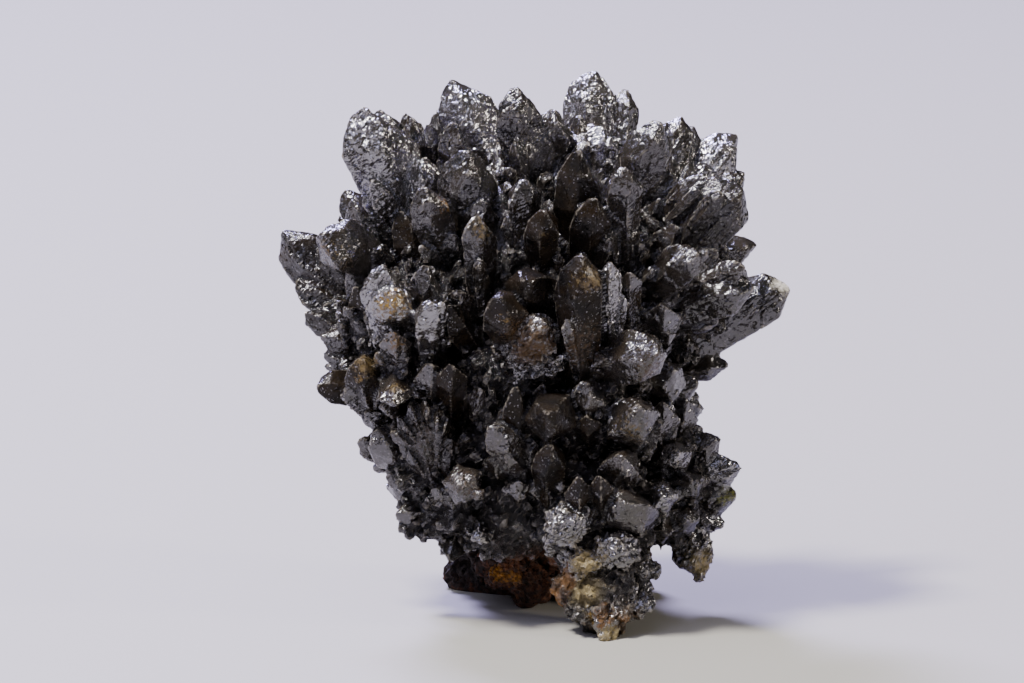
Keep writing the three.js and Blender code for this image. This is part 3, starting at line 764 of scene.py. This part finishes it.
along = add_node(tree, "ShaderNodeMapping", {"Vector": grain, "Scale": (2.4, 2.4, 0.25)}).outputs[0]
lines = add_node(tree, "ShaderNodeTexNoise", {"Vector": along, "Scale": 1, "Detail": 4}).outputs["Fac"]
leather = add_node(tree, "ShaderNodeTexNoise", {"Vector": bent, "Scale": 0.8, "Detail": 3,
                   "Roughness": 0.7}).outputs["Fac"]
line_depth = add_node(tree, "ShaderNodeMapRange", {0: fibrous, 3: 0.05, 4: 0.75}).outputs[0]
for height, distance, strength in ((lines, 0.0004, line_depth), (leather, 0.0006, leather_depth)):
    facing = add_node(tree, "ShaderNodeBump", {"Height": height, "Distance": distance,
                      "Strength": strength, "Normal": facing}).outputs["Normal"]
tree.links.new(facing, shader.inputs["Normal"])
print("surface of the crystals:", len(tree.nodes), "nodes")

# %% [markdown]
# ### Colour
# The body wanders between black and a brown that shows where the crystal is thin. Each face has
# its own tone. Hollows get painted shade, ridges get a pale grey painted highlight in places, and
# the stains lie on top with an edge that noise breaks up.

# %% Colour of the crystals
def layered(tree, base, colour, value, low, high, least, most):
    """Lay a colour over a base, with the least of it where a value is low and the most where high."""
    cover = add_node(tree, "ShaderNodeMapRange", {0: value, 1: low, 2: high, 3: least, 4: most}).outputs[0]
    return add_node(tree, "ShaderNodeMix", {0: cover, 6: base, 7: colour}, data_type="RGBA").outputs[2]


depth = add_node(tree, "ShaderNodeTexNoise", {"Vector": grain, "Scale": 0.25, "Detail": 3}).outputs["Fac"]
lightest = add_node(tree, "ShaderNodeMapRange", {0: mosaic, 3: 0.1, 4: 0.75}).outputs[0]
ridge = add_node(tree, "ShaderNodeMapRange", {0: fibrous, 1: 0.1, 3: 0.85, 4: 0.25}).outputs[0]
ridge_highlight = add_node(tree, "ShaderNodeMapRange", {0: lines, 1: 0.42, 2: 0.6, 3: 0.15, 4: ridge}).outputs[0]
ridge_highlight_hollow_shade = add_node(tree, "ShaderNodeAttribute", attribute_name="ridge_highlight_hollow_shade").outputs["Fac"]
colour = to_linear("080707")
# Near-black painted shade in the hollows and a pale grey painted highlight along the ridges.
for over, *reach in (("1f1810", depth, 0.35, 0.65, 0, 1), ("403c38", tone, 0, 1, 0, lightest),
                     ("060505", ridge_highlight_hollow_shade, -0.02, -0.12, 0, 0.85), ("847d73", ridge_highlight_hollow_shade, 0.06, 0.16, 0, ridge_highlight)):
    colour = layered(tree, colour, to_linear(over), *reach)

# The stain colours include one spot of painted shade, low on the back.
stain_and_shade = add_node(tree, "ShaderNodeAttribute", attribute_name="stain_and_shade")
patches = add_node(tree, "ShaderNodeTexNoise", {"Vector": grain, "Scale": 1.2, "Detail": 6,
                   "Roughness": 0.75}).outputs["Fac"]
patchy = add_node(tree, "ShaderNodeMapRange", {0: patches, 1: 0.32, 2: 0.68}).outputs[0]
edge = add_node(tree, "ShaderNodeMath", {0: patchy, 1: stain_and_shade.outputs["Alpha"]}, operation="ADD").outputs[0]
cover = add_node(tree, "ShaderNodeMapRange", {0: edge, 1: 0.95, 2: 1.6, 4: 0.75}).outputs[0]
colour = add_node(tree, "ShaderNodeMix", {0: cover, 6: colour, 7: stain_and_shade.outputs["Color"]},
                  data_type="RGBA").outputs[2]
tree.links.new(colour, shader.inputs["Base Color"])
print("with colour:", len(tree.nodes), "nodes")

# %% [markdown]
# ### Gloss
# The index stays at the mineral's own 2.2. What varies is how much of the reflection survives: a
# mosaic face sends most of it back, a smooth dark one only from tiny specks, about 0.3 mm wide,
# and a stain hides it. Stained and less polished cells are also rougher.

# %% Gloss of the crystals
dull = add_node(tree, "ShaderNodeMapRange", {0: polish, 3: 0.08, 4: 0.26}).outputs[0]
grime = add_node(tree, "ShaderNodeMapRange", {0: cover, 2: 0.75, 4: 0.4}).outputs[0]
worn = add_node(tree, "ShaderNodeMath", {0: dull, 1: grime}, operation="ADD").outputs[0]
tree.links.new(worn, shader.inputs["Roughness"])

dust = add_node(tree, "ShaderNodeTexVoronoi", {"Vector": grain, "Scale": 3.6}).outputs["Color"]
dust_pick = add_node(tree, "ShaderNodeSeparateColor", {0: dust}).outputs[0]
flecks = add_node(tree, "ShaderNodeMapRange", {0: dust_pick, 1: 0.9, 3: 0.04, 4: 0.5}).outputs[0]
shine = add_node(tree, "ShaderNodeMapRange", {0: mosaic, 1: 0.12, 3: flecks, 4: 0.8}).outputs[0]
level = add_node(tree, "ShaderNodeMapRange", {0: cover, 2: 0.5, 3: shine, 4: 0.12}).outputs[0]
tree.links.new(level, shader.inputs["Specular IOR Level"])
shader.inputs["IOR"].default_value = 2.2
shader.inputs["Specular Tint"].default_value = to_linear("f4f3f9")
print("descloizite material:", len(tree.nodes), "nodes")

# %% [markdown]
# ## The large crystals
# Each group of crystals is melted into one closed skin with a voxel remesh, because real
# crystals that meet have grown into each other. A remesh blunts flat faces a little, so every
# point is then laid back on the nearest face of the crystals that went in, which a BVH tree
# finds quickly. The same search tells which face each small square came from.

# %% One skin round a group
def melt(pile, voxel):
    """One closed skin round overlapping shapes, laid back on their faces."""
    points, triangles = pile.shape()
    mesh = bpy.data.meshes.new("melting")
    mesh.from_pydata(points, [], triangles)
    holder = bpy.data.objects.new("melting", mesh)
    bpy.context.collection.objects.link(holder)
    modifier = holder.modifiers.new("melt", "REMESH")
    modifier.mode = "VOXEL"
    modifier.voxel_size = voxel
    graph = bpy.context.evaluated_depsgraph_get()
    skin = bpy.data.meshes.new_from_object(holder.evaluated_get(graph))
    bpy.data.objects.remove(holder)
    places, faces = np.zeros(len(skin.vertices) * 3), np.zeros(len(skin.loops), int)
    skin.vertices.foreach_get("co", places)
    skin.loops.foreach_get("vertex_index", faces)
    bpy.data.meshes.remove(skin)
    places, faces = places.reshape(-1, 3), faces.reshape(-1, 4)
    tree = BVHTree.FromPolygons(points.tolist(), triangles.tolist())
    found = [tree.find_nearest(p) for p in places.tolist()]
    return {
        "points": np.array([f[0] for f in found]), "normals": np.array([f[1] for f in found]),
        "from": np.array([f[2] for f in found]), "faces": faces,
        "faces_from": np.array([tree.find_nearest(p)[2] for p in places[faces].mean(axis=1).tolist()]),
        "facing": np.cross(points[triangles[:, 1]] - points[triangles[:, 0]],
                           points[triangles[:, 2]] - points[triangles[:, 0]]),
    }


trial = Pile()
trial.add(crystals[0]["skin"][0][None], crystals[0]["skin"][1])
print("one crystal melts into", len(melt(trial, 1)["faces"]), "squares of 1 mm")

# %% [markdown]
# ## Relief
# Up close the faces are leathery: a patchwork of little flats, each tilted its own way with a
# small step to the next. A Voronoi pattern in the crystal's own axes gives the patches. Each
# patch's centre is hashed into a tilt and a step, so the pattern is the same on every run. Bump
# in the material could fake all this, but then the outline and the mesh would stay smooth.

# %% Relief of little flats
HASH = np.array([[12.99, 78.23, 37.72, 93.99], [26.65, 10.87, 61.17, 45.16], [55.41, 31.07, 19.33, 71.59]])


def hashed(places):
    """Four numbers from 0 to 1 that depend only on a place."""
    mixed = np.sin(places @ HASH) * 43758.5453
    return mixed - np.floor(mixed)


def flats(places, cell, stretch, slope, step):
    """Height of a patchwork of tilted flats at places in a crystal's own axes."""
    size = np.array([cell, cell, cell * stretch])
    scaled = places / size
    centres = np.array([noise.voronoi(Vector(p))[1][0] for p in scaled])
    numbers = hashed(centres)
    tilt = (numbers[:, :3] - 0.5) * 2 * slope
    return (tilt * (scaled - centres) * size).sum(axis=1) + (numbers[:, 3] - 0.5) * step


def swells(places, size, height):
    """Slow rounded swelling."""
    return np.array([noise.fractal(Vector(p) / size, 0.8, 2, 3) for p in places]) * height


# Each habit: how steep its flats are, the step between them in mm, how drawn out they are, how many
# small copies of itself a crystal gets, how mosaic it is and how fibrous.
HABITS = {
    "g": (0.1, 0.09, 1.3, 6, 1.0, 0.1),
    "m": (0.06, 0.05, 1.6, 4, 0.45, 0.2),
    "s": (0.03, 0.04, 1.5, 0, 0.12, 0.15),
    "f": (0.07, 0.14, 2.6, 5, 0.45, 0.5),
    "d": (0.07, 0.14, 2.6, 5, 0.27, 0.5),
    "r": (0.3, 0.3, 1, 14, 0.8, 0.3),
}


def facet_tones(skin):
    """A number from 0 to 1 for every small square, the same all over one flat face."""
    facing = unit(skin["facing"][skin["faces_from"]])
    return hashed(np.round(facing, 2) * 3.1)[:, 0]


print("habits:", ", ".join(HABITS))

# %% [markdown]
# ### One piece for each group
# A crystal's copies go in with it, and a narrow crystal has few. The relief is two patchworks, a
# wide one and a narrow one that steps half as far. Each crystal's pattern starts at a random
# place, so that no two look alike. The back has fewer small crystals, so a coarser skin will do.

# %% Groups of large crystals
NARROW_CRYSTAL = 5              # mm; a crystal no wider than this gets a third of the copies
WIDE_FLATS = 3                  # mm
NARROW_FLATS = 1.2
CRYSTAL_SINK = 0.05             # mm that the relief is sunk, to keep each crystal's size
FRONT_VOXEL = 0.52              # mm
BACK_VOXEL = 0.7


def group_piece(name, members, voxel):
    """One mesh for a group of crystals: their melted skin with its relief and its looks."""
    pile = Pile()
    for number, crystal in enumerate(members):
        habit = crystal["row"][10]
        points, triangles = crystal["edged"]
        pile.add(points[None], triangles, number)
        count = HABITS[habit][3] // (1 if crystal["row"][6] > NARROW_CRYSTAL else 3)
        pile.add(steps(crystal, count), crystal["skin"][1], number)
    skin = melt(pile, voxel)
    owners = np.concatenate(pile.owners)
    points, chosen = skin["points"], owners[skin["from"]]
    local, height = np.zeros_like(points), np.zeros(len(points))
    manners = np.array([HABITS[crystal["row"][10]][4:] for crystal in members])
    for number, crystal in enumerate(members):
        mine = chosen == number
        slope, step, stretch = HABITS[crystal["row"][10]][:3]
        places = (points[mine] - crystal["row"][0:3]) @ crystal["axes"].T + rng.random(3) * 90
        if not len(places):
            continue
        local[mine] = places
        height[mine] = (flats(places, WIDE_FLATS, stretch, slope, step)
                        + flats(places, NARROW_FLATS, stretch, slope, step / 2))
    tones = facet_tones(skin)
    looks = np.column_stack([tones, manners[owners[skin["faces_from"]]]])
    relief = skin["normals"] * (height - CRYSTAL_SINK)[:, None]
    return make_piece(name, points + relief, skin["faces"], local, looks, crystal_finish)


pieces = []
for name in groups:
    voxel = BACK_VOXEL if name.endswith("back") else FRONT_VOXEL
    pieces.append(group_piece(name, [c for c in crystals if c["group"] == name], voxel))
print("large crystals done")

# %% [markdown]
# ## Rounded bodies
# The druse and the crystals are seated in lumpy rounded masses. An icosphere pushed in and out
# by three slow waves gives their form. They could be sculpted by hand, but a formula with a seed
# gives the same body on every run.

# %% Rounded bodies
LUMPINESS = 0.08


def lump_reach(seed, directions):
    """How far slow waves swell a rounded body in each direction."""
    draw = numbers_from(seed)
    waves = []
    for order in (1, 2, 3):
        axis = Vector([next(draw) - 0.5 for _ in range(3)]).normalized()
        waves.append((np.array(axis), 1.2 + order, next(draw) * 6))
    return 1 + sum(LUMPINESS * np.sin(order * 2 * (directions @ axis) + shift)
                   for axis, order, shift in waves)


def ball(subdivisions):
    """Directions and triangles of an icosphere."""
    mesh = bmesh.new()
    bmesh.ops.create_icosphere(mesh, subdivisions=subdivisions, radius=1)
    points, triangles = arrays_of(mesh)
    return unit(points), triangles


def on_body(body, directions, sink):
    """Points on a rounded body, sunk by some millimetres, and their outward normals."""
    middle, half, seed = np.array(body[0:3]), np.array(body[3:6]), body[6]
    reach = lump_reach(seed, directions)[:, None]
    return middle + directions * (half * reach - sink), unit(directions / half)


sphere, sphere_triangles = ball(5)
print("sphere for the bodies:", len(sphere_triangles), "triangles")

# %% [markdown]
# ## Druse
# Between and below the large crystals everything is covered with small blunt crystals that stand
# close together and lean their own ways. Each one picks a spot on a rounded body. Scattered
# instances would be quicker, but they would stay loose shells, so they are melted into one skin.

# %% Druse
def inside(points, others, shrink):
    """Which points lie inside any of some rounded bodies, made smaller by some millimetres."""
    hit = np.zeros(len(points), bool)
    for body in others:
        middle, half = np.array(body[0:3]), np.array(body[3:6]) - shrink
        hit |= (((points - middle) / half) ** 2).sum(axis=1) < 1
    return hit


def bud_shapes(count):
    """A few blunt spearheads of unit length and width, pointing along Z, with their tips at 1."""
    draw = numbers_from(57)
    shapes = []
    for _ in range(count):
        lean = (next(draw) - 0.5) * 0.5
        shoulder = 0.66 + next(draw) * 0.16
        section = ((1, 0.2), (-0.2, 1), (-1, -0.2), (0.2, -1))
        corners = [(x * 0.4, y * 0.4, 0) for x, y in section]
        corners += [(x * 0.5, y * 0.5, shoulder + lean * x * 0.3) for x, y in section]
        corners += [(lean * 0.5 - 0.24, 0.06, 1), (lean * 0.5 + 0.24, -0.06, 0.96)]
        shapes.append(hull(corners))
    return shapes


BUDS = bud_shapes(5)


def buds(pile, frames, body, others, number, width, length, lean):
    """Small crystals on the part of a body that no other body covers, and their own axes."""
    seats, normals = on_body(body, random_units(number * 3), sink=1.6)
    free = ~inside(seats, others, shrink=0.6)
    seats, normals = seats[free][:number], normals[free][:number]
    number = len(seats)
    directions = unit(normals + random_units(number) * (lean * rng.random(number))[:, None])
    side = unit(np.cross(directions, random_units(number)))
    back = np.cross(directions, side)
    wide = width * (0.5 + 1.1 * rng.random(number) ** 2)
    reach = length * (0.6 + 0.5 * rng.random(number)) * (0.6 + 0.4 * wide / width)
    axes = np.stack([side * wide[:, None], back * (wide * 0.7)[:, None], directions * reach[:, None]],
                    axis=1)
    feet = (seats - directions * 0.5)[:, None]
    owners = len(frames) + np.arange(number)
    for k, (points, triangles) in enumerate(BUDS):
        part = slice(k, None, len(BUDS))
        pile.add(points[None] @ axes[part] + feet[part], triangles, owners[part])
    frames += list(np.stack([side, back, directions], axis=1))


DRUSE_VOXEL = 0.62              # mm
DRUSE_MOSAIC = 0.28             # little, because its faces are too small for many cells
DRUSE_SINK = 0.1                # mm that its relief is sunk


def druse_piece(name, chosen_bodies, number, width, length, lean):
    """One mesh for the druse on some rounded bodies."""
    pile, frames = Pile(), [np.eye(3)]
    for body in chosen_bodies:
        others = [b for b in CRYSTAL_BODIES + MATRIX_BODIES if b is not body]
        buds(pile, frames, body, others, number, width, length, lean)
        points, _ = on_body(body, sphere, sink=1.8)
        pile.add(points[None], sphere_triangles)
    skin = melt(pile, DRUSE_VOXEL)
    points, chosen = skin["points"], np.concatenate(pile.owners)[skin["from"]]
    local = np.einsum("nij,nj->ni", np.array(frames)[chosen], points) + (chosen % 17)[:, None] * 5.3
    height = (flats(local, cell=1.1, stretch=2.4, slope=0.2, step=0.16)
              + swells(points, size=3, height=0.2))
    tones = facet_tones(skin)
    looks = np.column_stack([tones, np.full(len(tones), DRUSE_MOSAIC), np.ones(len(tones))])
    relief = skin["normals"] * (height - DRUSE_SINK)[:, None]
    return make_piece(name, points + relief, skin["faces"], local, looks, crystal_finish)


# Each druse: its bodies, the crystals on each, their width and length in mm, and how far they lean.
DRUSES = {
    "druse_crown": (CRYSTAL_BODIES[:3], 300, 3.4, 4.6, 0.5),
    "druse_stalk": (CRYSTAL_BODIES[3:5] + CRYSTAL_BODIES[8:], 600, 2.4, 3.4, 0.8),
    "druse_foot": (CRYSTAL_BODIES[5:8], 500, 2.1, 3, 0.8),
}
for name, row in DRUSES.items():
    pieces.append(druse_piece(name, *row))

# %% [markdown]
# ## Limonite
# Limonite is earthy iron rust, so it is matt and porous. Rust brown wanders over about 7 mm,
# ochre lies in powdery films, and the surface is made of granules about 1 mm wide that darken
# towards their edges. These scales are per metre, because they read the object's own coordinates.

# %% Limonite material
rock_finish, tree, shader = new_material("limonite")
place = add_node(tree, "ShaderNodeTexCoord").outputs["Object"]
small, wide, powder = [
    add_node(tree, "ShaderNodeTexNoise", {"Vector": place, "Scale": scale, "Detail": detail,
             "Roughness": roughness}).outputs["Fac"]
    for scale, detail, roughness in ((900, 4, 0.7), (140, 5, 0.6), (420, 6, 0.7))]
granules = add_node(tree, "ShaderNodeTexVoronoi", {"Vector": place, "Scale": 1000}).outputs["Distance"]
# The stain colours include a near-black spot of painted shade on the rock's left back.
stain_and_shade = add_node(tree, "ShaderNodeAttribute", attribute_name="stain_and_shade")
patchy = add_node(tree, "ShaderNodeMapRange", {0: powder, 1: 0.32, 2: 0.68}).outputs[0]
film = add_node(tree, "ShaderNodeMath", {0: patchy, 1: stain_and_shade.outputs["Alpha"]}, operation="ADD").outputs[0]
rust = to_linear("2a180e")
for over, *reach in ((to_linear("6b3f22"), wide, 0.35, 0.65, 0, 1),
                     (stain_and_shade.outputs["Color"], film, 1, 1.3, 0, 0.85),
                     (to_linear("1d120c"), small, 0.35, 0.6, 0.7, 0),
                     (to_linear("140c08"), granules, 0.4, 0.75, 0, 0.8)):
    rust = layered(tree, rust, over, *reach)
tree.links.new(rust, shader.inputs["Base Color"])
shader.inputs["Roughness"].default_value = 0.9
grains = add_node(tree, "ShaderNodeBump", {"Height": granules, "Strength": 0.8, "Distance": 0.0007},
                  invert=True)
bump = add_node(tree, "ShaderNodeBump", {"Height": small, "Strength": 0.8, "Distance": 0.0006,
                "Normal": grains.outputs["Normal"]})
tree.links.new(bump.outputs["Normal"], shader.inputs["Normal"])
print("limonite material:", len(tree.nodes), "nodes")

# %% [markdown]
# ## Limonite matrix
# The rock's rounded masses are melted into one skin by a voxel remesh too. Slow noise makes
# lumps, a finer one eats pits, and two patchworks of flats give it broken grains. All of it fades
# out over the lowest two millimetres, so that the base stays flat.

# %% Matrix mesh
MATRIX_VOXEL = 0.66             # mm
LUMP_HEIGHT = 1.1
PIT_DEPTH = 3.4
FLAT_BASE = 0.2                 # mm above the ground where the base ends
FADE = 2                        # mm above it over which the relief grows to full height


def matrix_piece():
    """The rock: its bodies in one skin, with lumps, pits and broken grains."""
    pile = Pile()
    for body in MATRIX_BODIES:
        points, _ = on_body(body, sphere, sink=0)
        pile.add(points[None], sphere_triangles)
    skin = melt(pile, MATRIX_VOXEL)
    points, normals = skin["points"], skin["normals"]
    lumps = np.array([noise.fractal(Vector(p) * 0.16, 0.8, 2.1, 4) for p in points])
    pits = np.array([max(0, noise.noise(Vector(p) * 0.75) - 0.1) for p in points])
    broken = (flats(points, cell=0.9, stretch=1, slope=0.5, step=0.5)
              + flats(points, cell=2.2, stretch=1, slope=0.4, step=0.9))
    above = stand(points)[:, 2] / MM - FLAT_BASE
    height = (lumps * LUMP_HEIGHT - pits * PIT_DEPTH + broken) * np.clip(above / FADE, 0, 1)
    looks = np.zeros((len(skin["faces"]), 3))
    relief = normals * height[:, None]
    return make_piece("limonite_rock", points + relief, skin["faces"], points, looks, rock_finish)


rock = matrix_piece()

# %% [markdown]
# ## Riding on the body
# Every piece rides on the one body, and the parts of the frame that the pieces rebuild are hidden.

# %% Ride on the body and hide the frame's parts
for piece in pieces:
    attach(piece, "root")
    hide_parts("descloizite_crystals")
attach(rock, "root")
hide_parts("limonite_matrix")

bpy.context.view_layer.update()
